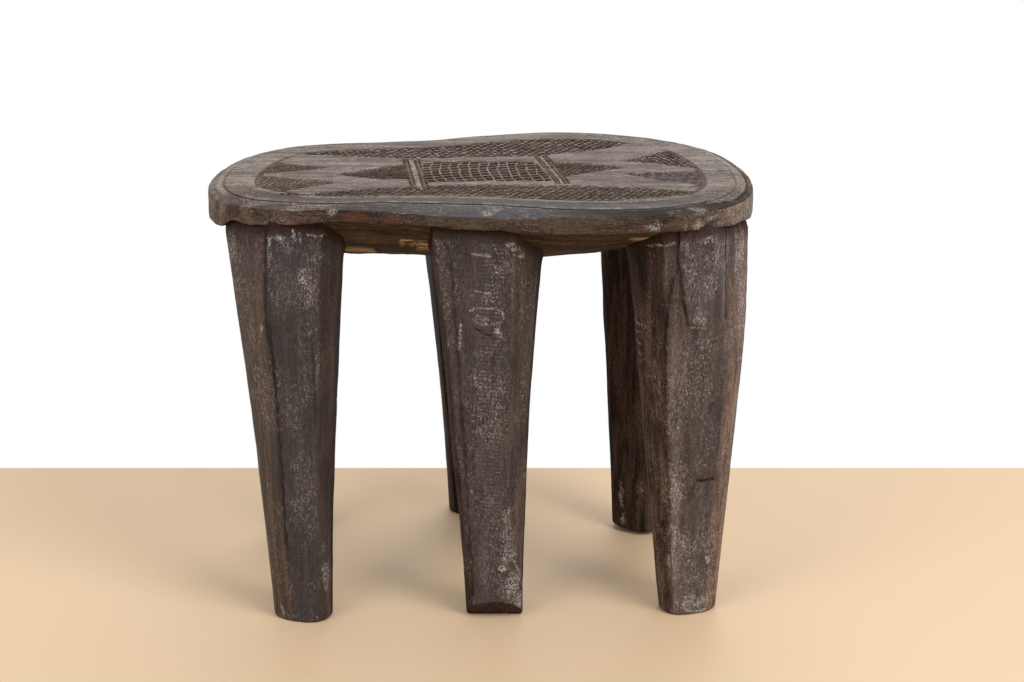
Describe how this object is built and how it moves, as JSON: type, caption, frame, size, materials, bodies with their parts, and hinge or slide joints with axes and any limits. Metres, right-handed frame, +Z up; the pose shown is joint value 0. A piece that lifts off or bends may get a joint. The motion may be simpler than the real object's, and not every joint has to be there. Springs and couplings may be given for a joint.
{
  "type": "carved wooden stool",
  "caption": "Low carved stool: a thick waisted oval seat with geometric carving, on tapering legs set in a ring.",
  "frame": {"origin": "middle of the stool's plan, on the floor", "axes": "+X along the seat's long side to the right, +Y to the back, +Z up"},
  "size_m": [0.4183, 0.3225, 0.33],
  "materials": {
    "seat_wood": "dark oiled patina with a dusty sheen",
    "leg_wood": "dark patina over adze marks"
  },
  "bodies": {
    "root": {"seat": "seat_wood", "leg_front_left": "leg_wood", "leg_front_middle": "leg_wood", "leg_front_right": "leg_wood", "leg_back_left": "leg_wood", "leg_back_middle": "leg_wood", "leg_back_right": "leg_wood"}
  },
  "joints": []
}
